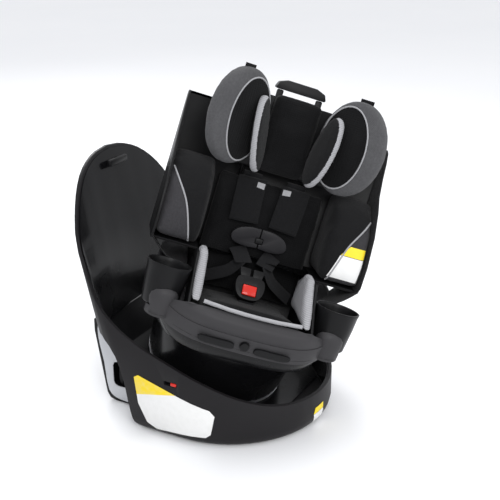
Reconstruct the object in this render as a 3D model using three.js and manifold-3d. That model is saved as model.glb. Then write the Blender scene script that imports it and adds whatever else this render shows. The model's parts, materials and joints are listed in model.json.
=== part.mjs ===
// A rotating convertible child car seat: a fixed tub base with a tall back, a tilted turntable in the
// tub, and a reclining seat with headrest, five-point harness and two cup holders on the turntable.
// Millimetres. X is across the base, -Y its front, +Z up, and Z = 0 is the surface it stands on.
import * as THREE from "three";
import { mergeVertices } from "three/addons/utils/BufferGeometryUtils.js";
import { RoundedBoxGeometry } from "three/addons/geometries/RoundedBoxGeometry.js";
import Module from "manifold-3d";

const wasm = await Module();
wasm.setup();

// ---------- driving dimensions ----------
const GAP = 0.4; // clearance between touching pieces
const TUB_RADIUS = 215; // half width of the base, and the radius of its round front
const TUB_WALL = 7;
const TUB_FLOOR = 10; // thickness of the flat bottom plate
const BACK_HEIGHT = 528; // top of the tall back
const BACK_LEAN = 0.25; // how far the tall back leans rearwards per mm of height
const BACK_FACE = 228; // rear face of the shell at BACK_KNEE height
const BACK_KNEE = 200;
const SIDE_SHIFT = -13.75; // centres the whole seat, as it stands turned, on the origin
const BASE_SHIFT = -10.44; // the round front's centre, in front of the origin

const AXIS_HEIGHT = 196; // where the turntable's axis crosses the middle of the tub's round front
const AXIS_TILT = THREE.MathUtils.degToRad(21); // the axis leans towards the base's front
const TURN = THREE.MathUtils.degToRad(-60); // how far the seat is turned from straight ahead
const RECLINE = THREE.MathUtils.degToRad(20); // backrest angle from the turntable's axis
const DISC_LEVEL = -112; // underside of the turntable disc, along the axis
const DISC_RADIUS = 150;

const PIVOT_Y = -45; // recline pivot, in the turntable's frame
const PIVOT_Z = 80;
const CARRIER_HALF = 188; // half width of the carrier's skirt
const CARRIER_FRONT = 216;
const CARRIER_REAR = 112;
const SKIRT_LOW = 62; // lower edge of the skirt
const SKIRT_WALL = 5;

const SHELL_HALF = 220; // half width of the seat shell's wings
const SHELL_WALL = 5;
const PAN_HALF = 126; // half width of the seat shell's pan
const CUP_X = 173; // cup holder centre
const CUP_Y = -84;
const CUP_RIM = 46; // height of the cup holder's rim in the seat's frame
const CUP_DEPTH = 84;

// ---------- geometry helpers ----------
const V2 = (x, y) => new THREE.Vector2(x, y);
const V3 = (x, y, z) => new THREE.Vector3(x, y, z);
const SIDES = { left: -1, right: 1 }; // left and right as seen from in front of the seat

// A closed geometry as a manifold-3d solid.
function solid(geometry) {
  const bare = geometry.clone();
  bare.deleteAttribute("normal");
  bare.deleteAttribute("uv");
  const merged = mergeVertices(bare, 1e-3);
  return new wasm.Manifold(
    new wasm.Mesh({
      numProp: 3,
      vertProperties: merged.attributes.position.array,
      triVerts: new Uint32Array(merged.index.array),
    }),
  );
}

// A manifold-3d solid as a geometry.
function geometryOf(shape) {
  const mesh = shape.getMesh();
  const geometry = new THREE.BufferGeometry();
  geometry.setAttribute("position", new THREE.BufferAttribute(mesh.vertProperties, 3));
  geometry.setIndex(new THREE.BufferAttribute(mesh.triVerts, 1));
  geometry.computeVertexNormals();
  return geometry;
}

// A smooth closed or open run of points through the given [x, y] pairs.
function smooth(pairs, count, closed = false) {
  const curve = new THREE.CatmullRomCurve3(pairs.map(([x, y]) => V3(x, y, 0)), closed, "centripetal");
  const points = curve.getPoints(count);
  if (closed) points.pop();
  return points.map((p) => V2(p.x, p.y));
}

// An outline in the YZ plane, extruded across X from x0 to x1.
function acrossX(outline, x0, x1) {
  const geometry = new THREE.ExtrudeGeometry(new THREE.Shape(outline), {
    depth: x1 - x0,
    bevelEnabled: false,
    curveSegments: 12,
  });
  const turned = new THREE.Matrix4().set(0, 0, 1, x0, 1, 0, 0, 0, 0, 1, 0, 0, 0, 0, 0, 1);
  return geometry.applyMatrix4(turned);
}

// An outline in the XZ plane, extruded along Y from y0 to y1.
function alongY(outline, y0, y1) {
  const geometry = new THREE.ExtrudeGeometry(new THREE.Shape(outline), {
    depth: y1 - y0,
    bevelEnabled: false,
    curveSegments: 12,
  });
  const turned = new THREE.Matrix4().set(1, 0, 0, 0, 0, 0, -1, y1, 0, 1, 0, 0, 0, 0, 0, 1);
  return geometry.applyMatrix4(turned);
}

// An outline in the XY plane, extruded up from z0 to z1.
function upZ(outline, z0, z1) {
  const geometry = new THREE.ExtrudeGeometry(new THREE.Shape(outline), {
    depth: z1 - z0,
    bevelEnabled: false,
    curveSegments: 12,
  });
  return geometry.translate(0, 0, z0);
}

// A solid of revolution about Z; the profile is [radius, z] pairs that start and end on the axis, or close.
function lathe(profile, segments) {
  const points = profile.map(([r, z]) => V2(r, z));
  return new THREE.LatheGeometry(points, segments).rotateX(Math.PI / 2);
}

// A skin over rings of equal length, closed by flat fans at both ends, or round on itself.
function loft(rings, loop = false) {
  const count = rings[0].length;
  const position = rings.flat().flatMap((p) => [p.x, p.y, p.z]);
  const index = [];
  const bands = loop ? rings.length : rings.length - 1;
  for (let r = 0; r < bands; r++) {
    const low = r * count;
    const high = ((r + 1) % rings.length) * count;
    for (let i = 0; i < count; i++) {
      const j = (i + 1) % count;
      index.push(low + i, low + j, high + j, low + i, high + j, high + i);
    }
  }
  if (!loop) {
    [0, rings.length - 1].forEach((r) => {
      const middle = rings[r].reduce((sum, p) => sum.add(p), V3(0, 0, 0)).divideScalar(count);
      const centre = position.length / 3;
      position.push(middle.x, middle.y, middle.z);
      for (let i = 0; i < count; i++) {
        const a = r * count + i;
        const b = r * count + ((i + 1) % count);
        index.push(centre, ...(r === 0 ? [b, a] : [a, b]));
      }
    });
  }
  const geometry = new THREE.BufferGeometry();
  geometry.setAttribute("position", new THREE.Float32BufferAttribute(position, 3));
  geometry.setIndex(index);
  return geometry;
}

// A rounded box centred on (x, y, z).
function block(width, depth, height, x, y, z, radius = 2) {
  return new RoundedBoxGeometry(width, depth, height, 1, radius).translate(x, y, z);
}

// A cylinder between two heights on Z, or turned to lie across X.
function rod(radius, length, segments = 24) {
  return new THREE.CylinderGeometry(radius, radius, length, segments).rotateX(Math.PI / 2);
}

function rodX(radius, length, segments = 24) {
  return new THREE.CylinderGeometry(radius, radius, length, segments).rotateZ(Math.PI / 2);
}

// Flat webbing swept through points in steps, its width lying along the direction across.
function ribbon(points, width, thickness, steps, across = V3(1, 0, 0)) {
  const path = new THREE.CatmullRomCurve3(points.map((p) => V3(...p)));
  const rings = [];
  for (let i = 0; i <= steps; i++) {
    const centre = path.getPointAt(i / steps);
    const along = path.getTangentAt(i / steps);
    const face = V3(0, 0, 0).crossVectors(along, across).normalize().multiplyScalar(thickness / 2);
    const side = V3(0, 0, 0).crossVectors(face, along).normalize().multiplyScalar(width / 2);
    rings.push([
      centre.clone().add(side).sub(face),
      centre.clone().add(side).add(face),
      centre.clone().sub(side).add(face),
      centre.clone().sub(side).sub(face),
    ]);
  }
  return loft(rings);
}

// ---------- materials ----------
function plastic(color, roughness) {
  return new THREE.MeshStandardMaterial({ color, roughness, metalness: 0 });
}

const matteCharcoal = plastic(0x333436, 0.6);
const glossBlack = plastic(0x0c0c0d, 0.18);
const matteBlack = plastic(0x19191a, 0.5);
const greyPlastic = plastic(0x4b4a4c, 0.5);
const labelWhite = plastic(0xdedede, 0.6);
const redPlastic = plastic(0xd6281f, 0.4);
const blackFabric = plastic(0x141415, 0.95);
const charcoalFabric = plastic(0x2b2b2d, 0.95);
const greyFabric = plastic(0x5a5a5a, 0.95);
const lightFabric = plastic(0xb9b4ae, 0.95);
const webbing = plastic(0x2a292b, 0.85);
const steel = new THREE.MeshStandardMaterial({ color: 0xb9bcc0, roughness: 0.3, metalness: 1 });
const chrome = new THREE.MeshStandardMaterial({ color: 0xe4e6e8, roughness: 0.12, metalness: 1 });

// Adds a named piece made of a geometry or a manifold-3d solid to a group.
function piece(group, name, shape, material) {
  const geometry = shape.isBufferGeometry ? shape : geometryOf(shape);
  const mesh = new THREE.Mesh(geometry, material);
  mesh.name = name;
  group.add(mesh);
  return mesh;
}

// ---------- base ----------
const EDGE_ROUND = 24; // radius of the base's lower edge
const REAR_CORNER = 44; // corner radius of the tall back, seen from above
const REAR_BOW = 16; // how far the rear face bows out in the middle

// The plan outline of the tub at height z, inset all round, counter-clockwise from the left side.
function tubRing(z, inset) {
  const under = THREE.MathUtils.clamp(EDGE_ROUND - z, 0, EDGE_ROUND);
  const tuck = EDGE_ROUND - Math.sqrt(EDGE_ROUND ** 2 - under ** 2);
  const radius = TUB_RADIUS - inset - tuck;
  const rear = BACK_FACE + BACK_LEAN * (z - BACK_KNEE) - inset;
  const corner = REAR_CORNER - inset;
  const points = [];
  for (let i = 0; i <= 28; i++) {
    const a = Math.PI * (1 + i / 28);
    points.push(V3(radius * Math.cos(a), radius * Math.sin(a), z));
  }
  const flat = radius - corner;
  for (let i = 0; i <= 5; i++) {
    const a = (Math.PI / 2) * (i / 5);
    points.push(V3(flat + corner * Math.cos(a), rear - REAR_BOW - corner + corner * Math.sin(a), z));
  }
  for (let i = 1; i < 6; i++) {
    const x = flat * (1 - i / 3);
    points.push(V3(x, rear - REAR_BOW * (x / flat) ** 2, z));
  }
  for (let i = 0; i <= 5; i++) {
    const a = (Math.PI / 2) * (1 + i / 5);
    points.push(V3(-flat + corner * Math.cos(a), rear - REAR_BOW - corner + corner * Math.sin(a), z));
  }
  return points;
}

// The tub's volume between two heights, inset all round.
function tubVolume(inset, low, high) {
  const rounding = [3, 7, 13, EDGE_ROUND].filter((z) => z > low && z < high);
  const levels = [low, ...rounding, high];
  return solid(loft(levels.map((z) => tubRing(z, inset))));
}

// The tub's silhouette from the side: the rim dips to the front and sweeps up the tall back.
function sideSilhouette(drop) {
  const rim = smooth(
    [
      [292, 600],
      [266, 500],
      [243, 417],
      [222, 335],
      [192, 266],
      [150, 222],
      [95, 191],
      [25, 166],
      [-46, 140],
      [-120, 106],
      [-180, 82],
      [-240, 70],
    ],
    36,
  ).map((p) => V2(p.x, p.y - drop));
  const heel = smooth(
    [
      [88, -1],
      [112, 12],
      [124, 50],
      [132, 92],
      [142, 130],
      [160, 168],
      [190, 196],
      [222, 206],
    ],
    12,
  );
  return [V2(-240, -1), ...heel, V2(420, 206), V2(420, 600), ...rim];
}

// The tub's silhouette from the front: straight sides and a round-topped back.
function frontSilhouette(inset) {
  const half = smooth(
    [
      [240, 240],
      [215, 270],
      [208, 320],
      [193, 372],
      [170, 424],
      [138, 470],
      [98, 503],
      [50, 522],
      [0, BACK_HEIGHT],
    ],
    20,
  );
  const right = half.map((p) => V2(Math.max(p.x - inset, 0), p.y - inset));
  const left = right.slice(0, -1).reverse().map((p) => V2(-p.x, p.y));
  return [V2(-240, -2), V2(240, -2), ...right, ...left];
}

// Keeps what both silhouettes hold.
function trimTub(shape, drop, inset) {
  const side = solid(acrossX(sideSilhouette(drop), -260, 260));
  const front = solid(alongY(frontSilhouette(inset), -260, 420));
  return shape.intersect(side).intersect(front);
}

// The turntable's frame: Z along the tilted axis, and -Y the way the seat faces.
function turntableFrame(yaw) {
  const group = new THREE.Group();
  group.position.set(0, 0, AXIS_HEIGHT);
  group.rotation.set(AXIS_TILT, 0, yaw, "XYZ");
  group.updateMatrix();
  return group;
}

const bearingFrame = turntableFrame(0);

// A geometry given in the bearing's frame, as a solid in the base's frame.
function onAxis(geometry) {
  return solid(geometry.clone().applyMatrix4(bearingFrame.matrix));
}

const BOWL_FLOOR = DISC_LEVEL - 9; // top of the tilted bowl floor, along the axis
const LINER_WALL = 3;
const BLOCK_HALF = 138; // half width of the rear foot block

function outerShell() {
  const wall = tubVolume(0, 0, 590).subtract(tubVolume(TUB_WALL, -2, 592));
  return trimTub(wall, 0, 0);
}

function bowlLiner() {
  const outside = TUB_WALL + GAP;
  const room = tubVolume(outside, 14, 590);
  const wall = room.subtract(tubVolume(outside + LINER_WALL, 12, 592));
  const above = onAxis(new THREE.BoxGeometry(900, 900, 900).translate(0, 0, BOWL_FLOOR - LINER_WALL + 450));
  const slab = onAxis(
    new THREE.BoxGeometry(900, 900, LINER_WALL).translate(0, 0, BOWL_FLOOR - LINER_WALL / 2),
  );
  return trimTub(wall.intersect(above).add(room.intersect(slab)), 5, 5);
}

function bottomPlate() {
  const plate = tubVolume(TUB_WALL + GAP, 0, TUB_FLOOR);
  return plate.intersect(solid(upZ([V2(-300, -300), V2(300, -300), V2(300, 84), V2(-300, 84)], -5, 50)));
}

function plinth() {
  const post = rod(150, 400, 40).translate(0, 0, BOWL_FLOOR - LINER_WALL - GAP - 200);
  const room = solid(
    upZ([V2(-190, -190), V2(190, -190), V2(190, 116), V2(-190, 116)], TUB_FLOOR + GAP, 300),
  );
  return onAxis(post).intersect(room).intersect(tubVolume(TUB_WALL + 6, TUB_FLOOR, 300));
}

const BLOCK_PROFILE = [
  [120, 0],
  [214, 0],
  [228, 4],
  [236, 16],
  [248, 80],
  [261, 158],
  [261, 186],
  [226, 196],
  [196, 128],
  [120, 100],
];
const TUNNEL = { y: 190, z: 68, depth: 58, height: 66 }; // the belt path across the foot block

function footBlock() {
  const outline = BLOCK_PROFILE.map(([y, z]) => V2(y, z));
  const body = solid(acrossX(outline, -BLOCK_HALF, BLOCK_HALF));
  const tunnel = block(400, TUNNEL.depth, TUNNEL.height, 0, TUNNEL.y, TUNNEL.z, 12);
  return body.subtract(solid(tunnel));
}

// A label plate on each side of the foot block, open where the belt path comes out.
function footPlate(side) {
  const outline = smooth(
    [
      [150, 14],
      [204, 8],
      [226, 20],
      [238, 90],
      [250, 150],
      [247, 176],
      [226, 170],
      [200, 118],
      [152, 104],
    ],
    30,
    true,
  );
  const near = BLOCK_HALF + GAP;
  const plate = solid(acrossX(outline, near, near + 2.4));
  const hole = block(40, TUNNEL.depth - 8, TUNNEL.height - 8, near, TUNNEL.y, TUNNEL.z, 10);
  const cut = geometryOf(plate.subtract(solid(hole)));
  return side > 0 ? cut : mirrored(cut);
}

// The same geometry on the other side of the YZ plane.
function mirrored(geometry) {
  const copy = geometry.index ? geometry.toNonIndexed() : geometry.clone();
  const p = copy.attributes.position.array;
  for (let i = 0; i < p.length; i += 9) {
    const [second, third] = [p.slice(i + 3, i + 6), p.slice(i + 6, i + 9)];
    p.set(third, i + 3);
    p.set(second, i + 6);
  }
  for (let i = 0; i < p.length; i += 3) p[i] = -p[i];
  return copy;
}

// A lower anchor connector parked in the mouth of the belt path, its jaw pointing down.
function anchorConnector(side) {
  const outline = smooth(
    [
      [-13, -24],
      [-5, -27],
      [-4, -14],
      [5, -14],
      [6, -27],
      [13, -23],
      [14, 12],
      [8, 26],
      [-8, 26],
      [-14, 12],
    ],
    30,
    true,
  );
  const x = side * (BLOCK_HALF - 10);
  return acrossX(outline, x - 6, x + 6).translate(0, TUNNEL.y, TUNNEL.z);
}

function anchorStrap() {
  const half = BLOCK_HALF - 17;
  return block(2 * half, 25, 3, 0, TUNNEL.y, TUNNEL.z + 18, 1);
}

const LABEL_OUTLINE = [
  [108, 122],
  [98, 128],
  [-62, 84],
  [-72, 72],
  [-64, 30],
  [-54, 22],
  [58, 14],
  [80, 26],
  [100, 64],
];
const SWITCH = { y: 22, z: 126 }; // the rear lock's window on the left side

// A label that follows the tub's side.
function sideLabel(side) {
  const outline = LABEL_OUTLINE.map(([y, z]) => V2(y, z));
  const band = side < 0 ? acrossX(outline, -260, -100) : acrossX(outline, 100, 260);
  return tubVolume(-1.4, 4, 200).subtract(tubVolume(-GAP, 2, 210)).intersect(solid(band));
}

function switchWindow() {
  return solid(block(24, 30, 9, -TUB_RADIUS, SWITCH.y, SWITCH.z, 2));
}

function lockSwitch() {
  return block(5, 13, 6.6, -TUB_RADIUS + 1.6, SWITCH.y - 7, SWITCH.z, 1.4);
}

function tetherGuide() {
  return block(64, 11, 15, 0, BACK_FACE + BACK_LEAN * 298 - 24, 498, 4);
}

const RACE_LOW = BOWL_FLOOR + GAP;

function lowerRace() {
  const profile = [
    [128, RACE_LOW],
    [150, RACE_LOW],
    [150, RACE_LOW + 3.6],
    [128, RACE_LOW + 3.6],
    [128, RACE_LOW],
  ];
  return onAxis(lathe(profile, 48));
}

function spindle() {
  const top = DISC_LEVEL + 8 + GAP;
  const profile = [
    [0, RACE_LOW],
    [20, RACE_LOW],
    [20, top],
    [32, top],
    [32, top + 6],
    [26, top + 10],
    [0, top + 10],
  ];
  return onAxis(lathe(profile, 32));
}

function buildBase() {
  const base = new THREE.Group();
  const window = switchWindow();
  piece(base, "base_outer_shell", outerShell().subtract(window), matteCharcoal);
  piece(base, "bowl_liner", bowlLiner(), glossBlack);
  piece(base, "bottom_plate", bottomPlate(), matteBlack);
  piece(base, "turntable_plinth", plinth(), matteBlack);
  piece(base, "rear_foot_block", footBlock(), matteBlack);
  piece(base, "lower_bearing_race", lowerRace(), steel);
  piece(base, "spindle", spindle(), steel);
  piece(base, "tether_guide", tetherGuide(), matteCharcoal);
  piece(base, "rear_lock_switch", lockSwitch(), redPlastic);
  piece(base, "anchor_strap", anchorStrap(), webbing);
  for (const [name, side] of Object.entries(SIDES)) {
    piece(base, `base_label_${name}`, sideLabel(side), labelWhite);
    piece(base, `foot_plate_${name}`, footPlate(side), labelWhite);
    piece(base, `anchor_connector_${name}`, anchorConnector(side), steel);
  }
  return base;
}

// ---------- turntable ----------
const BUCKET_TOP = 16;

function turntableBucket() {
  const floor = DISC_LEVEL;
  const profile = [
    [20.8, floor],
    [DISC_RADIUS, floor],
    [164, BUCKET_TOP],
    [160, BUCKET_TOP],
    [DISC_RADIUS - 5, floor + 8],
    [20.8, floor + 8],
    [20.8, floor],
  ];
  return solid(lathe(profile, 48));
}

function bearingRing() {
  const low = RACE_LOW + 4;
  const profile = [
    [132, low],
    [146, low],
    [146, DISC_LEVEL - GAP],
    [132, DISC_LEVEL - GAP],
    [132, low],
  ];
  return lathe(profile, 48);
}

const BRACKET_X = 135;
const PIN_RADIUS = 8;

// A steel upright on each side of the bucket's floor, with the stub pin that the seat reclines on.
function pivotBracket(side) {
  const outline = [
    [-38, DISC_LEVEL + 8 + GAP],
    [16, DISC_LEVEL + 8 + GAP],
    [-28, PIVOT_Z + 3],
    [-37, PIVOT_Z + 8],
    [-53, PIVOT_Z + 8],
    [-62, PIVOT_Z + 3],
  ].map(([y, z]) => V2(y, z));
  const x = side * BRACKET_X;
  const plate = solid(acrossX(outline, x - 3, x + 3));
  const pin = rodX(PIN_RADIUS, 18, 20).translate(x - side * 6, PIVOT_Y, PIVOT_Z);
  return plate.add(solid(pin));
}

const LOCK_PIN = { radius: 7, y: -110 }; // stands in a hole in the bucket's floor

function rotationLockPin() {
  return rod(LOCK_PIN.radius, 44, 16).translate(0, LOCK_PIN.y, DISC_LEVEL + 26);
}

function buildTurntable() {
  const table = turntableFrame(TURN);
  const pinHole = rod(LOCK_PIN.radius + GAP, 60, 16).translate(0, LOCK_PIN.y, DISC_LEVEL);
  piece(table, "turntable_bucket", turntableBucket().subtract(solid(pinHole)), glossBlack);
  piece(table, "bearing_ring", bearingRing(), steel);
  piece(table, "rotation_lock_pin", rotationLockPin(), steel);
  for (const [name, side] of Object.entries(SIDES)) {
    piece(table, `pivot_bracket_${name}`, pivotBracket(side), steel);
  }
  return table;
}

// ---------- seat ----------
// The seat's frame: origin on the recline pivot, Z up the backrest, -Y forward.
const seatFrame = new THREE.Matrix4()
  .makeRotationX(-RECLINE)
  .setPosition(0, PIVOT_Y, PIVOT_Z);
const toSeat = seatFrame.clone().invert();

// The skirt's plan outline in the turntable's frame, counter-clockwise; height(y) is its level.
function skirtRing(inset, height, count = 56) {
  const points = [];
  const power = 2 / 3.4;
  for (let i = 0; i < count; i++) {
    const a = (2 * Math.PI * i) / count;
    const c = Math.cos(a);
    const s = Math.sin(a);
    const reach = s < 0 ? CARRIER_FRONT : CARRIER_REAR;
    const x = (CARRIER_HALF - inset) * Math.sign(c) * Math.abs(c) ** power;
    const y = (reach - inset) * Math.sign(s) * Math.abs(s) ** power;
    points.push(V3(x, y, height(y)));
  }
  return points;
}

const SKIRT_HIGH = 98;
const skirtLow = (y) => SKIRT_LOW + Math.max(0, y + 20) * 0.25;

// The upright arch that carries each cup holder, in the turntable's frame.
function cupArch(side) {
  const profile = [
    [0, SKIRT_LOW + 2],
    [29, SKIRT_LOW + 2],
    [29, 100],
    [27, 110],
    [21, 119],
    [12, 125],
    [0, 127],
  ];
  return solid(lathe(profile, 24).scale(1, 0.7, 1).translate(side * (CUP_X - 4), -153, 0));
}

const CUP_PROFILE_OUT = [
  [0, -CUP_DEPTH],
  [31, -CUP_DEPTH],
  [35, -CUP_DEPTH + 4],
  [41, -34],
  [43, -8],
  [45, 0],
];

function cupSolid(side, grow) {
  const profile = CUP_PROFILE_OUT.map(([r, z]) => {
    const low = z < -CUP_DEPTH + 1;
    return [r === 0 ? 0 : r + grow, low ? z - grow : z];
  });
  profile.push([0, 0]);
  return lathe(profile, 40).translate(side * CUP_X, CUP_Y, CUP_RIM);
}

function cupHolder(side) {
  const inside = [
    [0, -CUP_DEPTH + 4],
    [30, -CUP_DEPTH + 4],
    [38, -34],
    [40, -8],
    [42, 3],
    [0, 3],
  ];
  const hollow = lathe(inside, 40).translate(side * CUP_X, CUP_Y, CUP_RIM);
  return solid(cupSolid(side, 0)).subtract(solid(hollow));
}

// The column swept by a cup holder as it lifts out.
function cupRoom(side) {
  const sweep = lathe(
    [
      [0, -CUP_DEPTH - GAP],
      [36, -CUP_DEPTH - GAP],
      [42, -34],
      [46, 0],
      [46, 40],
      [0, 40],
    ],
    40,
  );
  return solid(sweep.translate(side * CUP_X, CUP_Y, CUP_RIM));
}

function intoSeat(shape) {
  return solid(geometryOf(shape).applyMatrix4(toSeat));
}

const FRONT_FACE = -CARRIER_FRONT;
const ADJUSTER = { radius: 9, z: 83 }; // harness adjuster button, in the skirt's front

function seatSkirt() {
  const rings = [
    skirtRing(0, skirtLow),
    skirtRing(0, () => SKIRT_HIGH),
    skirtRing(SKIRT_WALL, () => SKIRT_HIGH),
    skirtRing(SKIRT_WALL, skirtLow),
  ];
  const wall = solid(loft(rings, true));
  const deckOutline = skirtRing(SKIRT_WALL - 0.5, () => 0).map((p) => V2(p.x, p.y));
  const deck = solid(upZ(deckOutline, SKIRT_HIGH - 6, SKIRT_HIGH - 3));
  const throat = solid(new THREE.BoxGeometry(2 * PAN_HALF + 4, 500, 60).translate(0, 44, SKIRT_HIGH));
  const holeRod = rod(ADJUSTER.radius + GAP, 24, 24).rotateX(Math.PI / 2);
  const adjusterHole = solid(holeRod.translate(0, FRONT_FACE, ADJUSTER.z));
  const skirt = wall.add(deck.subtract(throat)).add(cupArch(-1)).add(cupArch(1)).subtract(adjusterHole);
  return intoSeat(skirt).subtract(cupRoom(-1)).subtract(cupRoom(1));
}

// The dark ring that closes the gap between the skirt and the turntable's bucket.
function skirtUnderRing() {
  const low = (y) => SKIRT_LOW - 30 + 16 * THREE.MathUtils.smoothstep(y, -60, 20);
  const high = (y) => skirtLow(y) - GAP;
  const rings = [skirtRing(11, low), skirtRing(2, high), skirtRing(5, high), skirtRing(14, low)];
  return intoSeat(solid(loft(rings, true)));
}

// A chrome oval cap over each end of the recline pivot.
function pivotCap(side) {
  const cap = new THREE.CylinderGeometry(11, 13, 3.4, 24).rotateZ((-side * Math.PI) / 2);
  return cap.scale(1, 0.7, 1).translate(side * (CARRIER_HALF + GAP + 1.7), 0, 0);
}

const WING_OUTLINE = [
  [104, 72],
  [108, 200],
  [113, 340],
  [110, 360],
  [100, 366],
  [88, 360],
  [76, 340],
  [64, 306],
  [46, 270],
  [16, 240],
  [-16, 192],
  [-34, 130],
  [-34, 86],
  [-22, 72],
];
const PAN_OUTLINE = [
  [-152, -14],
  [-150, -30],
  [-120, -46],
  [-80, -66],
  [40, -72],
  [88, -50],
  [102, 40],
  [108, 200],
  [108, 212],
  [-14, 190],
  [-34, 130],
  [-60, 78],
  [-100, 34],
  [-132, 6],
];
const CAVITY_OUTLINE = [
  [-400, -9],
  [-147, -9],
  [-145, -27],
  [-118, -41],
  [-78, -61],
  [38, -67],
  [83, -47],
  [97, 42],
  [103, 200],
  [111, 400],
  [111, 800],
  [-400, 800],
];
const pairs = (outline) => outline.map(([y, z]) => V2(y, z));

function seatShell() {
  const wings = acrossX(pairs(WING_OUTLINE), -SHELL_HALF, SHELL_HALF);
  const pan = acrossX(pairs(PAN_OUTLINE), -PAN_HALF, PAN_HALF);
  const inner = SHELL_HALF - SHELL_WALL;
  const wingRoom = acrossX(
    pairs([
      [-400, 77],
      [99, 77],
      [103, 200],
      [111, 400],
      [111, 800],
      [-400, 800],
    ]),
    -inner,
    inner,
  );
  const panRoom = acrossX(pairs(CAVITY_OUTLINE), -(PAN_HALF - SHELL_WALL), PAN_HALF - SHELL_WALL);
  const pinBore = rodX(PIN_RADIUS + GAP, 400, 20);
  const walls = solid(wings).add(solid(pan));
  return walls.subtract(solid(wingRoom)).subtract(solid(panRoom)).subtract(solid(pinBore));
}

// A soft pad: a side outline across X with rounded edges.
function pad(outline, x0, x1, round = 6) {
  const shape = new THREE.Shape(pairs(outline));
  const geometry = new THREE.ExtrudeGeometry(shape, {
    depth: x1 - x0 - 2 * round,
    bevelEnabled: true,
    bevelThickness: round,
    bevelSize: round,
    bevelOffset: -round,
    bevelSegments: 2,
  });
  const turned = new THREE.Matrix4().set(0, 0, 1, x0 + round, 1, 0, 0, 0, 0, 1, 0, 0, 0, 0, 0, 1);
  return geometry.applyMatrix4(turned);
}

const HIP_INNER = 103;
const SEAT_PAD = [
  [-146, -8],
  [-150, -1],
  [-140, 3],
  [-60, -7],
  [10, -16],
  [56, -20],
  [80, -30],
  [76, -46],
  [40, -64],
  [-76, -58],
  [-116, -38],
  [-144, -24],
];
const BACK_PAD = [
  [44, -8],
  [74, -12],
  [78, 40],
  [82, 200],
  [83, 232],
  [66, 236],
  [58, 200],
  [46, 60],
  [40, 4],
];
const HIP_PAD = [
  [-142, -2],
  [-118, 24],
  [-84, 52],
  [-52, 84],
  [-20, 86],
  [30, 60],
  [30, 0],
  [-60, -2],
];
const BOLSTER = [
  [96, 82],
  [99, 196],
  [101, 246],
  [58, 250],
  [24, 230],
  [-10, 186],
  [-27, 130],
  [-27, 90],
  [-18, 82],
];

function frontPiping() {
  const half = HIP_INNER - 5;
  const path = new THREE.CatmullRomCurve3([
    V3(-half, -152, 6),
    V3(-half * 0.4, -158, 3),
    V3(half * 0.4, -158, 3),
    V3(half, -152, 6),
  ]);
  const round = new THREE.Shape(new THREE.EllipseCurve(0, 0, 4, 4).getPoints(8).slice(0, -1));
  return new THREE.ExtrudeGeometry(round, { steps: 12, extrudePath: path, bevelEnabled: false });
}

function shellBackCover() {
  const outline = [
    [-128, 100],
    [128, 100],
    [146, 130],
    [146, 300],
    [120, 336],
    [-120, 336],
    [-146, 300],
    [-146, 130],
  ].map(([x, z]) => V2(x, z));
  const lean = solid(alongY(outline, 80, 140));
  const face = acrossX(
    pairs([
      [105.3, 90],
      [108.5, 200],
      [116.4, 400],
      [116.8, 410],
      [124, 410],
      [128, 380],
      [122, 200],
      [113, 90],
    ]),
    -160,
    160,
  );
  return lean.intersect(solid(face));
}

// ---------- headrest ----------
const HEAD_FACE = 44; // front of the centre pad
const LOBE = { x: 119, y: 8, z: 349, wide: 74, high: 98, thick: 36, turn: 38, splay: 0 };
const PILLOW = { x: 67, y: 7, z: 326, wide: 38, high: 78, thick: 19, turn: 68, splay: 9 };

// A flat oval pad on the headrest, turned to face the middle and splayed out at the top.
function earPad(side, ear) {
  const outline = new THREE.EllipseCurve(0, 0, ear.wide, ear.high).getPoints(28).slice(0, -1);
  const round = Math.min(7, ear.thick / 2 - 1);
  const geometry = new THREE.ExtrudeGeometry(new THREE.Shape(outline), {
    depth: ear.thick - 2 * round,
    bevelEnabled: true,
    bevelThickness: round,
    bevelSize: round,
    bevelOffset: -round,
    bevelSegments: 2,
  });
  geometry.translate(0, 0, -(ear.thick - 2 * round) / 2);
  geometry.rotateX(Math.PI / 2);
  geometry.rotateZ(THREE.MathUtils.degToRad(-ear.turn));
  geometry.rotateY(THREE.MathUtils.degToRad(ear.splay));
  geometry.translate(ear.x, ear.y, ear.z);
  return side > 0 ? geometry : mirrored(geometry);
}

// A headrest wing, hollowed where its pillow sits in it.
function headrestWing(side) {
  const seat = { ...PILLOW, wide: PILLOW.wide + 1, high: PILLOW.high + 1, thick: PILLOW.thick + 2 * GAP };
  return solid(earPad(side, LOBE)).subtract(solid(earPad(side, seat)));
}

// A steel rod that hangs from the frame's lower edge and runs in the seat shell.
function guideRod(side) {
  const stub = rod(4, 176, 12).translate(side * 70, 90, 188);
  const foot = block(14, 14, 20, side * 70, 87, 268, 2);
  return geometryOf(solid(stub).add(solid(foot)));
}

function headrestFrame() {
  const plate = block(250, 9, 153, 0, 80, 328.5, 3);
  const postLeft = block(14, 9, 22, -42, 80, 410, 3);
  const postRight = block(14, 9, 22, 42, 80, 410, 3);
  return [postLeft, postRight, guideRod(-1), guideRod(1)].reduce((sum, g) => sum.add(solid(g)), solid(plate));
}

function headrestHandle() {
  const outline = [
    [-54, 424],
    [-49, 436],
    [-30, 443],
    [30, 443],
    [49, 436],
    [54, 424],
    [51, 421.5],
    [-51, 421.5],
  ].map(([x, z]) => V2(x, z));
  return alongY(outline, 72, 98);
}

// ---------- harness ----------
const STRAP_X = 47; // shoulder strap's distance from the middle, at its slot
const CLIP = { y: 40, z: 117 }; // chest clip
const BUCKLE = { y: -40, z: 2 };
const BUCKLE_LEAN = THREE.MathUtils.degToRad(32);

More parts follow.
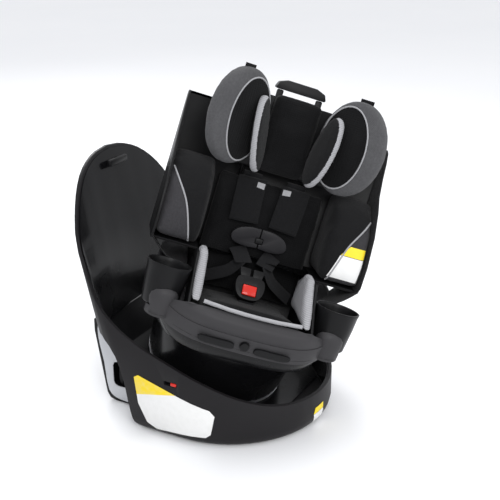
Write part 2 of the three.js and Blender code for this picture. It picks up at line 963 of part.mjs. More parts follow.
// The upper run of a shoulder strap, from its slot down the back cushion to the chest clip.
function shoulderStrap(side) {
  const points = [
    [side * STRAP_X, 72, 243],
    [side * STRAP_X, 55, 241],
    [side * (STRAP_X - 1), 51, 220],
    [side * (STRAP_X - 3), 46, 180],
    [side * (STRAP_X - 6), 41, 142],
  ];
  return ribbon(points, 38, 2.4, 14);
}

function shoulderPad(side) {
  const points = [
    [side * STRAP_X, 45, 232],
    [side * (STRAP_X - 1), 42.5, 205],
    [side * (STRAP_X - 3), 39, 172],
    [side * (STRAP_X - 5), 34.5, 147],
  ];
  return ribbon(points, 58, 8, 10);
}

// The webbing below the chest clip: down through the buckle tongue and on to the hip.
function lowerStrap(side) {
  const down = ribbon(
    [
      [side * (STRAP_X - 8), 33, 91],
      [side * 33, 26, 86],
      [side * 27, 13, 76],
      [side * 22, 0.8, 68],
    ],
    34,
    2.4,
    12,
  );
  const lap = ribbon(
    [
      [side * 97, 28, 12],
      [side * 72, 19, 26],
      [side * 46, 9, 44],
      [side * 26, 7, 73],
    ],
    26,
    2.4,
    8,
    V3(0, 0.5, 1).normalize(),
  );
  return solid(down).add(solid(lap));
}

function chestClipHalf(side) {
  const outline = smooth(
    [
      [1.2, -18],
      [28, -20],
      [54, -14],
      [59, -2],
      [50, 12],
      [26, 21],
      [1.2, 22],
    ],
    18,
  );
  const half = alongY(side > 0 ? outline : outline.map((p) => V2(-p.x, p.y)), CLIP.y - 14, CLIP.y - 3);
  const recess = block(17, 8, 13, 0, CLIP.y - 14, -3, 2);
  return geometryOf(solid(half).subtract(solid(recess))).translate(0, 0, CLIP.z);
}

function chestClipButton() {
  return block(15.4, 3.4, 11.4, 0, CLIP.y - 13.6, CLIP.z - 3, 1.4);
}

// Turns a piece drawn upright at the origin into the buckle's leaning place.
function onBuckle(geometry) {
  return geometry.rotateX(-BUCKLE_LEAN).translate(0, BUCKLE.y, BUCKLE.z);
}

function buckleBody() {
  const outline = smooth(
    [
      [-25, 46],
      [-30, 34],
      [-27, 14],
      [-17, 2],
      [17, 2],
      [27, 14],
      [30, 34],
      [25, 46],
      [0, 49],
    ],
    36,
    true,
  );
  const body = solid(alongY(outline, -9, 9));
  const recess = solid(block(31, 10, 24, 0, -7, 19, 3));
  return geometryOf(body.subtract(recess));
}

function buckleButton() {
  return block(29, 4.4, 22, 0, -8.6, 19, 1.9);
}

function crotchStrap() {
  return block(32, 3, 8, 0, 0, -6.5, 1);
}

function tongue(side) {
  const outline = [
    [3, 50],
    [22, 50],
    [25, 62],
    [25, 68],
    [3, 68],
  ].map(([x, z]) => V2(side * x, z));
  return alongY(outline, -2, 2);
}

// ---------- front controls, in the turntable's frame ----------

function intoSeatGeometry(geometry) {
  return geometry.applyMatrix4(toSeat);
}

function adjusterButton() {
  return rod(ADJUSTER.radius, 7, 24).rotateX(Math.PI / 2).translate(0, FRONT_FACE - 3.4, ADJUSTER.z);
}

function frontHandle(side) {
  const outline = smooth(
    [
      [20, 74],
      [54, 71],
      [90, 75],
      [92, 84],
      [56, 86],
      [22, 84],
    ],
    24,
    true,
  );
  const seen = side > 0 ? outline : outline.map((p) => V2(-p.x, p.y));
  return alongY(seen, FRONT_FACE - 6.4, FRONT_FACE - GAP);
}

function buildHeadrest() {
  const head = new THREE.Group();
  piece(head, "headrest_frame", headrestFrame(), matteBlack);
  piece(head, "headrest_handle", headrestHandle(), greyPlastic);
  piece(head, "headrest_centre_pad", block(100, 28, 160, 0, HEAD_FACE + 16, 332, 8), blackFabric);
  for (const [name, side] of Object.entries(SIDES)) {
    piece(head, `headrest_wing_${name}`, headrestWing(side), greyFabric);
    piece(head, `headrest_pillow_${name}`, earPad(side, PILLOW), charcoalFabric);
  }
  return head;
}

function buildHarness() {
  const harness = new THREE.Group();
  piece(harness, "chest_clip_button", chestClipButton(), matteBlack);
  piece(harness, "buckle_body", onBuckle(buckleBody()), matteBlack);
  piece(harness, "buckle_button", onBuckle(buckleButton()), redPlastic);
  piece(harness, "crotch_strap", onBuckle(crotchStrap()), webbing);
  for (const [name, side] of Object.entries(SIDES)) {
    piece(harness, `shoulder_strap_${name}`, shoulderStrap(side), webbing);
    piece(harness, `shoulder_pad_${name}`, shoulderPad(side), charcoalFabric);
    piece(harness, `lower_strap_${name}`, lowerStrap(side), webbing);
    piece(harness, `chest_clip_${name}`, chestClipHalf(side), matteBlack);
    piece(harness, `buckle_tongue_${name}`, onBuckle(tongue(side)), steel);
  }
  return harness;
}

function buildSeat() {
  const seat = new THREE.Group();
  seat.applyMatrix4(seatFrame);
  piece(seat, "seat_shell", seatShell(), matteBlack);
  piece(seat, "seat_skirt", seatSkirt(), greyPlastic);
  piece(seat, "skirt_under_ring", skirtUnderRing(), glossBlack);
  piece(seat, "shell_back_cover", shellBackCover(), greyPlastic);
  piece(seat, "seat_cushion", pad(SEAT_PAD, -HIP_INNER + 1, HIP_INNER - 1), blackFabric);
  const backHalf = PAN_HALF - SHELL_WALL - 4;
  piece(seat, "back_cushion", pad(BACK_PAD, -backHalf, backHalf), blackFabric);
  piece(seat, "front_piping", frontPiping(), lightFabric);
  piece(seat, "adjuster_button", intoSeatGeometry(adjusterButton()), matteBlack);
  piece(seat, "turn_handle", intoSeatGeometry(frontHandle(-1)), matteBlack);
  piece(seat, "recline_handle", intoSeatGeometry(frontHandle(1)), matteBlack);
  for (const [name, side] of Object.entries(SIDES)) {
    const wing = pad(BOLSTER, PAN_HALF + 2, SHELL_HALF - SHELL_WALL - 1);
    const hip = pad(HIP_PAD, HIP_INNER, PAN_HALF - SHELL_WALL - 1, 4);
    piece(seat, `side_bolster_${name}`, side > 0 ? wing : mirrored(wing), charcoalFabric);
    piece(seat, `hip_pad_${name}`, side > 0 ? hip : mirrored(hip), lightFabric);
    piece(seat, `cup_holder_${name}`, cupHolder(side), matteBlack);
    piece(seat, `pivot_cap_${name}`, pivotCap(side), chrome);
  }
  seat.add(buildHarness(), buildHeadrest());
  return seat;
}

// ---------- assembly ----------
const carSeat = new THREE.Group();
carSeat.name = "convertible_car_seat";
carSeat.position.set(SIDE_SHIFT, BASE_SHIFT, 0);
const turntable = buildTurntable();
turntable.add(buildSeat());
carSeat.add(buildBase(), turntable);

export default carSeat;
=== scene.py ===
"""The looks of a convertible car seat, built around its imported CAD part.

It makes padded fabric, webbing and moulded plastic. Lengths are in millimetres unless a name says otherwise.
"""

import json
import math

import bmesh
import bpy
from mathutils import Matrix, Vector
from mathutils.bvhtree import BVHTree


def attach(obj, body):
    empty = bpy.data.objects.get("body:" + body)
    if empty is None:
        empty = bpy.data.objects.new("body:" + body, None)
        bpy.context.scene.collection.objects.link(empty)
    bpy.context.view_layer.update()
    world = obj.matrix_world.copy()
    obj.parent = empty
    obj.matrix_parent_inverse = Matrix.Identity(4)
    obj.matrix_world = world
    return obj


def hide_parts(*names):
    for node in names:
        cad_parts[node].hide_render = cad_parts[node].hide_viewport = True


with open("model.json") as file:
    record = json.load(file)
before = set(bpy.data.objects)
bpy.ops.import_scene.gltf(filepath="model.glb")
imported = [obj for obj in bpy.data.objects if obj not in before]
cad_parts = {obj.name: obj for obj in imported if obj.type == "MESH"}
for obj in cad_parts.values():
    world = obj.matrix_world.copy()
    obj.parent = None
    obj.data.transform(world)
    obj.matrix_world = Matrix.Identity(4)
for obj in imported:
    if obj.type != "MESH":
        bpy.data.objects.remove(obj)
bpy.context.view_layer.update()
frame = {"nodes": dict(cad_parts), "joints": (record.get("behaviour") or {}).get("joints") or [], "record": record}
NODES = frame["nodes"]
BODY_OF = {n: b for b, names in frame["record"]["behaviour"]["bodies"].items() for n in names}
JOINTS = {j["name"]: j for j in frame["joints"]}
MM = 0.001
SIDES = {"left": -1, "right": 1}


# ---------- frames ----------
def seat_and_table_frames():
    """The seat's and the turntable's own axes (X to the seat's right, Y to its back), from the joints."""
    turn, recline = JOINTS["turntable_turn"], JOINTS["seat_recline"]
    up = Vector(turn["axis"]).normalized()
    side = -Vector(recline["axis"]).normalized()
    back = up.cross(side)
    origin = Vector(turn["pos_m"])
    table = Matrix.Translation(origin) @ Matrix((side, back, up)).transposed().to_4x4()
    leaning = Vector(JOINTS["headrest_height"]["axis"]).normalized()
    behind = leaning.cross(side)
    pivot = Vector(recline["pos_m"])
    seat = Matrix.Translation(pivot) @ Matrix((side, behind, leaning)).transposed().to_4x4()
    return seat, table


SEAT, TABLE = seat_and_table_frames()
BASE = Matrix.Translation((TABLE.translation.x, TABLE.translation.y, 0))


def at(matrix, x, y, z):
    """A point given in millimetres in a frame, in the row frame."""
    return matrix @ Vector((x * MM, y * MM, z * MM))


def seat_line(points, sign):
    """Points given on the seat's right side, placed on the side that the sign picks."""
    return [at(SEAT, sign * x, y, z) for x, y, z in points]


# ---------- materials ----------
class Finish:
    """A procedural material: a base shader and the textures that vary its colour and its surface."""

    def __init__(self, name, color, rough, metallic=0.0, sheen=0.0, coat=0.0, gloss=0.16):
        self.material = bpy.data.materials.new(name)
        self.material.use_nodes = True
        self.tree = self.material.node_tree
        self.shader = self.tree.nodes["Principled BSDF"]
        self.shader.inputs["Metallic"].default_value = metallic
        self.shader.inputs["Sheen Weight"].default_value = sheen
        self.shader.inputs["Sheen Roughness"].default_value = 0.5
        self.shader.inputs["Coat Weight"].default_value = coat
        self.shader.inputs["Specular IOR Level"].default_value = gloss
        self.coordinates = self.node("ShaderNodeTexCoord").outputs["Object"]
        self.color = self.value_color(color)
        self.height = None
        self.shader.inputs["Roughness"].default_value = rough

    def node(self, kind, **settings):
        made = self.tree.nodes.new(kind)
        for key, value in settings.items():
            setattr(made, key, value)
        return made

    def link(self, source, target):
        self.tree.links.new(source, target)

    def value_color(self, color):
        made = self.node("ShaderNodeRGB")
        made.outputs[0].default_value = (*color, 1)
        return made.outputs[0]

    def turned(self, matrix):
        """The coordinates seen in another frame, so that weave and ribs follow the seat."""
        loc, rot, _ = matrix.inverted().decompose()
        mapping = self.node("ShaderNodeMapping")
        mapping.inputs["Location"].default_value = loc
        mapping.inputs["Rotation"].default_value = rot.to_euler()
        self.link(self.coordinates, mapping.inputs["Vector"])
        self.coordinates = mapping.outputs["Vector"]
        return self

    def noise(self, scale, detail=4.0, stretch=(1, 1, 1)):
        mapping = self.node("ShaderNodeMapping")
        mapping.inputs["Scale"].default_value = stretch
        self.link(self.coordinates, mapping.inputs["Vector"])
        made = self.node("ShaderNodeTexNoise")
        made.inputs["Scale"].default_value = scale
        made.inputs["Detail"].default_value = detail
        self.link(mapping.outputs["Vector"], made.inputs["Vector"])
        return made.outputs["Fac"]

    def bands(self, spacing, direction="X", distortion=0.0):
        made = self.node("ShaderNodeTexWave", wave_type="BANDS", bands_direction=direction)
        made.inputs["Scale"].default_value = math.tau / (20 * spacing * MM)
        made.inputs["Distortion"].default_value = distortion
        self.link(self.coordinates, made.inputs["Vector"])
        return made.outputs["Fac"]

    def cells(self, spacing):
        made = self.node("ShaderNodeTexVoronoi", feature="F1")
        made.inputs["Scale"].default_value = 1 / (spacing * MM)
        made.inputs["Randomness"].default_value = 0.15
        self.link(self.coordinates, made.inputs["Vector"])
        return made.outputs["Distance"]

    def ramp(self, factor, low, high, start=0.0, end=1.0):
        made = self.node("ShaderNodeMapRange", clamp=True)
        for key, value in (("From Min", low), ("From Max", high), ("To Min", start), ("To Max", end)):
            made.inputs[key].default_value = value
        self.link(factor, made.inputs["Value"])
        return made.outputs["Result"]

    def math(self, operation, a, b):
        made = self.node("ShaderNodeMath", operation=operation)
        for socket, value in zip(made.inputs, (a, b)):
            if isinstance(value, (int, float)):
                socket.default_value = value
            else:
                self.link(value, socket)
        return made.outputs[0]

    def tint(self, factor, color):
        """Mixes a second colour in where the factor is high."""
        made = self.node("ShaderNodeMix", data_type="RGBA")
        self.link(factor, made.inputs["Factor"])
        self.link(self.color, made.inputs["A"])
        made.inputs["B"].default_value = (*color, 1)
        self.color = made.outputs["Result"]
        return self

    def worn(self, factor, low, high):
        """Roughness that varies between two values."""
        self.link(self.ramp(factor, 0.3, 0.7, low, high), self.shader.inputs["Roughness"])
        return self

    def relief(self, factor, depth):
        """Adds a bump of some millimetres."""
        made = self.node("ShaderNodeBump")
        made.inputs["Strength"].default_value = 1.0
        made.inputs["Distance"].default_value = depth * MM
        self.link(factor, made.inputs["Height"])
        if self.height is not None:
            self.link(self.height, made.inputs["Normal"])
        self.height = made.outputs["Normal"]
        return self

    def done(self):
        self.link(self.color, self.shader.inputs["Base Color"])
        if self.height is not None:
            self.link(self.height, self.shader.inputs["Normal"])
        return self.material


def grained_plastic(name, color, rough, coat=0.0, grain=0.12):
    f = Finish(name, color, rough, coat=coat)
    fine = f.noise(1400, 2)
    broad = f.noise(9, 3)
    f.tint(f.ramp(broad, 0.35, 0.75, 0, 0.35), [min(1, c * 1.25 + 0.004) for c in color])
    f.worn(broad, rough - 0.06, rough + 0.07)
    f.relief(fine, grain)
    return f.done()


def woven(name, color, thread=1.3, sheen=0.06, relief=0.35):
    """Close-woven cloth, its threads along the seat's own axes."""
    f = Finish(name, color, 0.88, sheen=sheen, gloss=0.12).turned(SEAT)
    warp = f.bands(thread, "DIAGONAL")
    fuzz = f.noise(260, 5)
    broad = f.noise(14, 4)
    lighter = [c * 1.5 + 0.002 for c in color]
    f.tint(f.ramp(fuzz, 0.35, 0.75, 0, 0.55), lighter)
    f.tint(f.ramp(broad, 0.4, 0.8, 0, 0.3), [c * 0.7 for c in color])
    f.relief(warp, relief)
    f.relief(fuzz, 0.5)
    return f.done()


def knitted(name, color):
    """Open knit with small dimples."""
    f = Finish(name, color, 0.9, sheen=0.05, gloss=0.1).turned(SEAT)
    dimples = f.cells(4.2)
    broad = f.noise(16, 4)
    f.tint(f.ramp(dimples, 0.1, 0.45, 0.6, 0), [c * 0.3 for c in color])
    f.tint(f.ramp(broad, 0.4, 0.8, 0, 0.4), [c * 1.7 + 0.004 for c in color])
    f.relief(dimples, 0.9)
    return f.done()


def ribbed(name, color, spacing=3.4, direction="Z"):
    """Cloth or webbing with narrow ribs."""
    f = Finish(name, color, 0.85, sheen=0.06, gloss=0.15).turned(SEAT)
    ribs = f.bands(spacing, direction, 0.6)
    fuzz = f.noise(300, 4)
    f.tint(f.ramp(ribs, 0.0, 0.6, 0.55, 0), [c * 0.55 for c in color])
    f.tint(f.ramp(fuzz, 0.4, 0.8, 0, 0.3), [c * 0.8 for c in color])
    f.relief(ribs, 0.6)
    return f.done()


def metal(name, color, rough):
    f = Finish(name, color, rough, metallic=1.0)
    streaks = f.noise(60, 4, (1, 1, 12))
    f.tint(f.ramp(streaks, 0.3, 0.8, 0, 0.3), [c * 0.6 for c in color])
    f.worn(streaks, rough, rough + 0.12)
    return f.done()


def film(name, color):
    """A printed label's plain film, slightly mottled."""
    f = Finish(name, color, 0.42, coat=0.15)
    mottle = f.noise(90, 5)
    f.tint(f.ramp(mottle, 0.4, 0.8, 0, 0.3), [c * 0.86 for c in color])
    f.relief(mottle, 0.05)
    return f.done()


SHELL = grained_plastic("charcoal_shell", (0.0105, 0.0098, 0.0108), 0.45)
GLOSS = grained_plastic("gloss_black", (0.004, 0.004, 0.0045), 0.24, coat=0.08, grain=0.01)
BLACK = grained_plastic("black_plastic", (0.0055, 0.0055, 0.006), 0.4)
GREY = grained_plastic("grey_plastic", (0.034, 0.033, 0.035), 0.48)
HANDLE_BLACK = grained_plastic("handle_black", (0.0075, 0.0075, 0.008), 0.4)
LIGHT = grained_plastic("light_plastic", (0.5, 0.51, 0.53), 0.5)
# Light grey cloth for the shoulder pads' tabs: a painted highlight standing for the glint on the folded strap
# edges.
HIGHLIGHT_TAB_CLOTH = woven("highlight_tab_cloth", (0.3, 0.3, 0.31), thread=1.0)
RED = grained_plastic("red_plastic", (0.55, 0.02, 0.012), 0.35, coat=0.3, grain=0.02)
CLIP = grained_plastic("clip_plastic", (0.012, 0.0115, 0.013), 0.34)
STEEL = metal("brushed_steel", (0.45, 0.45, 0.47), 0.32)
CHROME = metal("chrome_cap", (0.8, 0.8, 0.82), 0.12)
KNIT = knitted("black_knit", (0.0048, 0.0048, 0.0052))
CHARCOAL = woven("charcoal_cloth", (0.0062, 0.0062, 0.0068))
BOLSTER_GREY = woven("bolster_cloth", (0.036, 0.035, 0.038))
BAND_GREY = woven("band_cloth", (0.066, 0.066, 0.069), thread=1.6)
COVER_CLOTH = woven("cover_cloth", (0.0085, 0.0082, 0.009), thread=1.5)
HIP_CLOTH = ribbed("hip_cloth", (0.34, 0.34, 0.355))
PIPING = ribbed("piping_cloth", (0.4, 0.4, 0.415), spacing=1.5)
WEBBING = ribbed("webbing", (0.008, 0.008, 0.009), spacing=2.2, direction="X")
WHITE_FILM = film("white_film", (0.74, 0.74, 0.73))
YELLOW_FILM = film("yellow_film", (0.8, 0.62, 0.03))
DARK_INK = film("dark_ink", (0.03, 0.03, 0.03))


# ---------- mesh helpers ----------
WELD = 0.02
FLAT_ANGLE = math.radians(1.5)
ROUNDED_ANGLE = math.radians(35)
CLOTH_FRAMES = 20


def link_piece(name, mesh, material, node=None, body=None):
    """A named object that rides a body and, when it stands for a CAD node, replaces it."""
    obj = bpy.data.objects.new(name, mesh)
    bpy.context.scene.collection.objects.link(obj)
    if material is not None:
        mesh.materials.clear()
        mesh.materials.append(material)
    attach(obj, body or BODY_OF[node])
    if node:
        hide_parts(node)
    return obj


def shade(mesh, angle=None):
    """Smooth faces, with edges sharper than the angle kept."""
    mesh.shade_smooth()
    if angle is not None:
        mesh.set_sharp_from_angle(angle=math.radians(angle))


def evaluated_mesh(obj):
    """The object's mesh with its modifiers applied."""
    depsgraph = bpy.context.evaluated_depsgraph_get()
    return bpy.data.meshes.new_from_object(obj.evaluated_get(depsgraph))


def apply_modifiers(obj):
    """Replaces the object's mesh with the one that its modifiers give."""
    mesh = evaluated_mesh(obj)
    obj.modifiers.clear()
    old = obj.data
    obj.data = mesh
    bpy.data.meshes.remove(old)
    return obj


def copy_of(node):
    """A welded copy of a CAD node's mesh."""
    mesh = NODES[node].data.copy()
    bm = bmesh.new()
    bm.from_mesh(mesh)
    bmesh.ops.remove_doubles(bm, verts=bm.verts, dist=WELD * MM)
    bmesh.ops.dissolve_limit(bm, angle_limit=FLAT_ANGLE, verts=bm.verts, edges=bm.edges)
    bm.to_mesh(mesh)
    bm.free()
    if "custom_normal" in mesh.attributes:
        mesh.attributes.remove(mesh.attributes["custom_normal"])
    return mesh


def rounded(node, material, bevel):
    """A hard piece with its edges rounded over."""
    obj = link_piece(node + "_form", copy_of(node), material, node)
    modifier = obj.modifiers.new("round", "BEVEL")
    modifier.width = bevel * MM
    modifier.segments = 2
    modifier.limit_method = "ANGLE"
    modifier.angle_limit = ROUNDED_ANGLE
    apply_modifiers(obj)
    obj.data.materials.clear()
    obj.data.materials.append(material)
    shade(obj.data, 40)
    return obj


def remeshed(mesh, voxel):
    """An object with an even, eased skin in place of the mesh."""
    obj = bpy.data.objects.new("soft", mesh)
    bpy.context.scene.collection.objects.link(obj)
    modifier = obj.modifiers.new("remesh", "REMESH")
    modifier.mode = "VOXEL"
    modifier.voxel_size = voxel * MM
    smooth = obj.modifiers.new("ease", "SMOOTH")
    smooth.iterations = 6
    smooth.factor = 0.5
    apply_modifiers(obj)
    return obj


def inflated(obj, pressure, cap):
    """Fills a closed skin with air for a short cloth run, and caps how far each point moves."""
    rest = [v.co.copy() for v in obj.data.vertices]
    cloth = obj.modifiers.new("cloth", "CLOTH")
    settings = cloth.settings
    settings.quality = 4
    settings.mass = 0.4
    settings.tension_stiffness = 25
    settings.compression_stiffness = 20
    settings.shear_stiffness = 12
    settings.bending_stiffness = 1.5
    settings.use_pressure = True
    settings.uniform_pressure_force = pressure
    settings.effector_weights.gravity = 0
    cloth.collision_settings.use_collision = False
    cloth.point_cache.frame_start = 1
    cloth.point_cache.frame_end = CLOTH_FRAMES
    scene = bpy.context.scene
    for number in range(1, CLOTH_FRAMES + 1):
        scene.frame_set(number)
    result = evaluated_mesh(obj)
    obj.modifiers.clear()
    scene.frame_set(1)
    for vertex, before, after in zip(obj.data.vertices, rest, result.vertices):
        move = after.co - before
        reach = move.length
        if reach > 0:
            vertex.co = before + move * (cap * MM * math.tanh(reach / (cap * MM)) / reach)
    bpy.data.meshes.remove(result)
    return obj


def cushion(name, node, material, voxel=5.0, pressure=4.0, cap=7.0):
    """A padded piece made from a CAD node's solid: remeshed, filled out and smoothed."""
    soft = inflated(remeshed(copy_of(node), voxel), pressure, cap)
    mesh = soft.data
    bpy.data.objects.remove(soft)
    obj = link_piece(name, mesh, material, node)
    smooth = obj.modifiers.new("ease", "SMOOTH")
    smooth.iterations = 4
    finer = obj.modifiers.new("finer", "SUBSURF")
    finer.levels = finer.render_levels = 1
    apply_modifiers(obj)
    obj.data.materials.clear()
    obj.data.materials.append(material)
    shade(obj.data)
    return obj


def tube(name, points, radius, material, body, cyclic=False, resolution=3):
    """A round cord or piping along points, as a mesh."""
    curve = bpy.data.curves.new(name, "CURVE")
    curve.dimensions = "3D"
    curve.bevel_depth = radius * MM
    curve.bevel_resolution = resolution
    curve.resolution_u = 6
    curve.use_fill_caps = not cyclic
    spline = curve.splines.new("BEZIER")
    spline.bezier_points.add(len(points) - 1)
    for target, point in zip(spline.bezier_points, points):
        target.co = point
        target.handle_left_type = target.handle_right_type = "AUTO"
    spline.use_cyclic_u = cyclic
    holder = bpy.data.objects.new(name, curve)
    bpy.context.scene.collection.objects.link(holder)
    bpy.context.view_layer.update()
    mesh = evaluated_mesh(holder)
    bpy.data.objects.remove(holder)
    shade(mesh)
    return link_piece(name, mesh, material, body=body)


def surface_of(obj):
    """A search tree of the object's faces, for dropping things on to them."""
    bm = bmesh.new()
    bm.from_mesh(obj.data)
    tree = BVHTree.FromBMesh(bm)
    bm.free()
    return tree


def laid_on(tree, points, direction, lift, back=120.0):
    """Points dropped along a direction on to a surface, lifted off it by some millimetres."""
    found = []
    for point in points:
        start = point - direction * back * MM
        hit, normal, _, _ = tree.ray_cast(start, direction, 3 * back * MM)
        if hit is not None:
            outward = normal if normal.dot(direction) < 0 else -normal
            found.append(hit + outward * lift * MM)
    return found


def eased(points, count):
    """A smooth line through a few points."""
    result = []
    last = len(points) - 1
    for i in range(count):
        t = last * i / (count - 1)
        k = min(int(t), last - 1)
        u = t - k
        p0, p1 = points[max(k - 1, 0)], points[k]
        p2, p3 = points[k + 1], points[min(k + 2, last)]
        bend = 2 * p0 - 5 * p1 + 4 * p2 - p3
        twist = 3 * p1 - p0 - 3 * p2 + p3
        result.append(0.5 * ((2 * p1) + (p2 - p0) * u + bend * u**2 + twist * u**3))
    return result


def band(name, points, across, width, thick, material, body, node=None, crown=0.0, rows=9, steps=40):
    """Webbing or a long pad: a thin closed strip along points, its width along across, edges rounded."""
    path = eased(points, steps)
    bm = bmesh.new()
    rings = []
    for i, centre in enumerate(path):
        along = (path[min(i + 1, steps - 1)] - path[max(i - 1, 0)]).normalized()
        side = across.cross(along).cross(along).normalized()
        side = side if side.dot(across) > 0 else -side
        face = along.cross(side).normalized()
        end = min(1.0, min(i, steps - 1 - i) / 2.5 + 0.35) if crown else 1.0
        ring = []
        for sign in (1, -1):
            for k in range(rows):
                u = -1 + 2 * k / (rows - 1)
                u *= sign
                edge = 1 - abs(u) ** 6
                height = (thick / 2) * (0.35 + 0.65 * edge) + crown * (1 - u * u) * end
                ring.append(centre + side * u * width / 2 * MM + face * sign * height * end * MM)
        rings.append([bm.verts.new(p) for p in ring])
    count = len(rings[0])
    for a, b in zip(rings, rings[1:]):
        for k in range(count):
            bm.faces.new((a[k], a[(k + 1) % count], b[(k + 1) % count], b[k]))
    bm.faces.new(reversed(rings[0]))
    bm.faces.new(rings[-1])
    bmesh.ops.recalc_face_normals(bm, faces=bm.faces)
    mesh = bpy.data.meshes.new(name)
    bm.to_mesh(mesh)
    bm.free()
    shade(mesh, 50)
    return link_piece(name, mesh, material, node, body)


def patch(name, tree, outline, direction, lift, material, body, frame_matrix, grid=26, thick=0.5):
    """A thin label dropped on to a surface: a grid cut to an outline in (x, z) of a frame."""
    xs, zs = [p[0] for p in outline], [p[1] for p in outline]
    bm = bmesh.new()
    corners = [bm.verts.new((x * MM, 0, z * MM)) for x, z in outline]
    bm.faces.new(corners)
    for lo, hi, axis in ((min(xs), max(xs), 0), (min(zs), max(zs), 2)):
        for i in range(1, grid):
            plane = Vector((0, 0, 0))
            plane[axis] = (lo + (hi - lo) * i / grid) * MM
            normal = Vector((0, 0, 0))
            normal[axis] = 1
            geometry = bm.verts[:] + bm.edges[:] + bm.faces[:]
            bmesh.ops.bisect_plane(bm, geom=geometry, plane_co=plane, plane_no=normal)
    for v in bm.verts:
        start = frame_matrix @ v.co - direction * 0.2
        hit, normal, _, _ = tree.ray_cast(start, direction, 0.5)
        if hit is None:
            continue
        outward = normal if normal.dot(direction) < 0 else -normal
        v.co = hit + outward * lift * MM
    bmesh.ops.recalc_face_normals(bm, faces=bm.faces)
    mesh = bpy.data.meshes.new(name)
    bm.to_mesh(mesh)
    bm.free()
    obj = link_piece(name, mesh, material, body=body)
    modifier = obj.modifiers.new("thick", "SOLIDIFY")
    modifier.thickness = thick * MM
    modifier.offset = 0
    apply_modifiers(obj)
    shade(obj.data, 40)
    return obj


# ---------- hard pieces ----------
HARD = {
    "base_outer_shell": (SHELL, 1.4),
    "bottom_plate": (SHELL, 1.0),
    "turntable_plinth": (SHELL, 1.0),
    "rear_foot_block": (BLACK, 2.0),
    "tether_guide": (BLACK, 1.2),
    "turntable_bucket": (GLOSS, 1.0),
    "lower_bearing_race": (STEEL, 0.5),
    "spindle": (STEEL, 0.5),
    "bearing_ring": (STEEL, 0.5),
    "rotation_lock_pin": (STEEL, 0.6),
    "seat_shell": (BLACK, 1.6),
    "seat_skirt": (GREY, 1.4),
    "skirt_under_ring": (GLOSS, 0.5),
    "shell_back_cover": (SHELL, 5.0),
    "chest_clip_button": (BLACK, 0.5),
    "buckle_body": (BLACK, 2.0),
    "buckle_button": (RED, 0.9),
    "crotch_strap": (WEBBING, 0.4),
    "anchor_strap": (WEBBING, 0.4),
    "adjuster_button": (BLACK, 1.0),
    "turn_handle": (BLACK, 1.4),
    "recline_handle": (BLACK, 1.4),
    "headrest_frame": (BLACK, 1.2),
    "headrest_handle": (HANDLE_BLACK, 4.0),
    "rear_lock_switch": (RED, 0.7),
    "front_piping": (PIPING, 0.3),
}
PAIRED = {
    "foot_plate": (LIGHT, 0.8),
    "anchor_connector": (BLACK, 1.2),
    "pivot_bracket": (STEEL, 0.8),
    "cup_holder": (BLACK, 0.8),
    "pivot_cap": (CHROME, 0.9),
    "chest_clip": (CLIP, 2.4),
    "buckle_tongue": (BLACK, 0.5),
}


def side_label_material():
    """White film with a yellow field along the upper rear edge."""
    f = Finish("side_label_film", (0.74, 0.74, 0.73), 0.42, coat=0.15)
    split = f.node("ShaderNodeSeparateXYZ")
    f.link(f.coordinates, split.inputs["Vector"])
    slope, level = 0.215, 0.1064
    y = f.math("SUBTRACT", split.outputs["Y"], BASE.translation.y)
    height = f.math("ADD", split.outputs["Z"], f.math("MULTIPLY", y, slope))
    f.tint(f.ramp(height, level - 0.0006, level + 0.0006), (0.8, 0.6, 0.02))
    mottle = f.noise(90, 5)
    f.tint(f.ramp(mottle, 0.4, 0.8, 0, 0.25), (0.6, 0.6, 0.58))
    f.relief(mottle, 0.05)
    return f.done()


def hard_pieces():
    """Every moulded or metal piece, its edges rounded; returns them by node."""
    made = {}
    for node, (material, bevel) in HARD.items():
        made[node] = rounded(node, material, bevel)
    for stem, (material, bevel) in PAIRED.items():
        for side in SIDES:
            node = f"{stem}_{side}"
            made[node] = rounded(node, material, bevel)
    label = side_label_material()
    made["base_label_left"] = rounded("base_label_left", label, 0.3)
    made["base_label_right"] = rounded("base_label_right", WHITE_FILM, 0.3)
    made["bowl_liner"] = rounded("bowl_liner", GLOSS, 1.0)
    return made


# ---------- upholstery ----------
BOLSTER_LINE = [(146, 84), (154, 112), (165, 145), (176, 168), (194, 194), (213, 220)]
LOBE = {"x": 119, "y": 8, "z": 349, "turn": 38, "splay": 0}
PILLOW = {"x": 67, "y": 7, "z": 326, "turn": 68, "splay": 9, "wide": 38, "high": 78}
LOBE_FACE = {"x": -12, "z": -2, "half_x": 54, "half_z": 84}
RING_POINTS = 56


def ear_frame(side, ear):
    """A headrest ear's own frame: X along its width, -Y its face, Z up."""
    splay = Matrix.Rotation(math.radians(ear["splay"]), 4, "Y")
    turn = splay @ Matrix.Rotation(math.radians(-ear["turn"]), 4, "Z")
    place = Matrix.Translation(Vector((ear["x"], ear["y"], ear["z"])) * MM)
    mirror = Matrix.Diagonal((SIDES[side], 1, 1, 1))
    return SEAT @ mirror @ place @ turn


def paint(obj, material, chosen):
    """Gives a second material to the faces that the test picks."""
    obj.data.materials.append(material)
    index = len(obj.data.materials) - 1
    for face in obj.data.polygons:
        if chosen(face.center):
            face.material_index = index
    return obj


def line_at(line, z):
    """The x of a line of (x, z) points at a height; None above its top."""
    for (x0, z0), (x1, z1) in zip(line, line[1:]):
        if z0 <= z <= z1:
            return x0 + (x1 - x0) * (z - z0) / (z1 - z0)
    return line[0][0] if z < line[0][1] else None


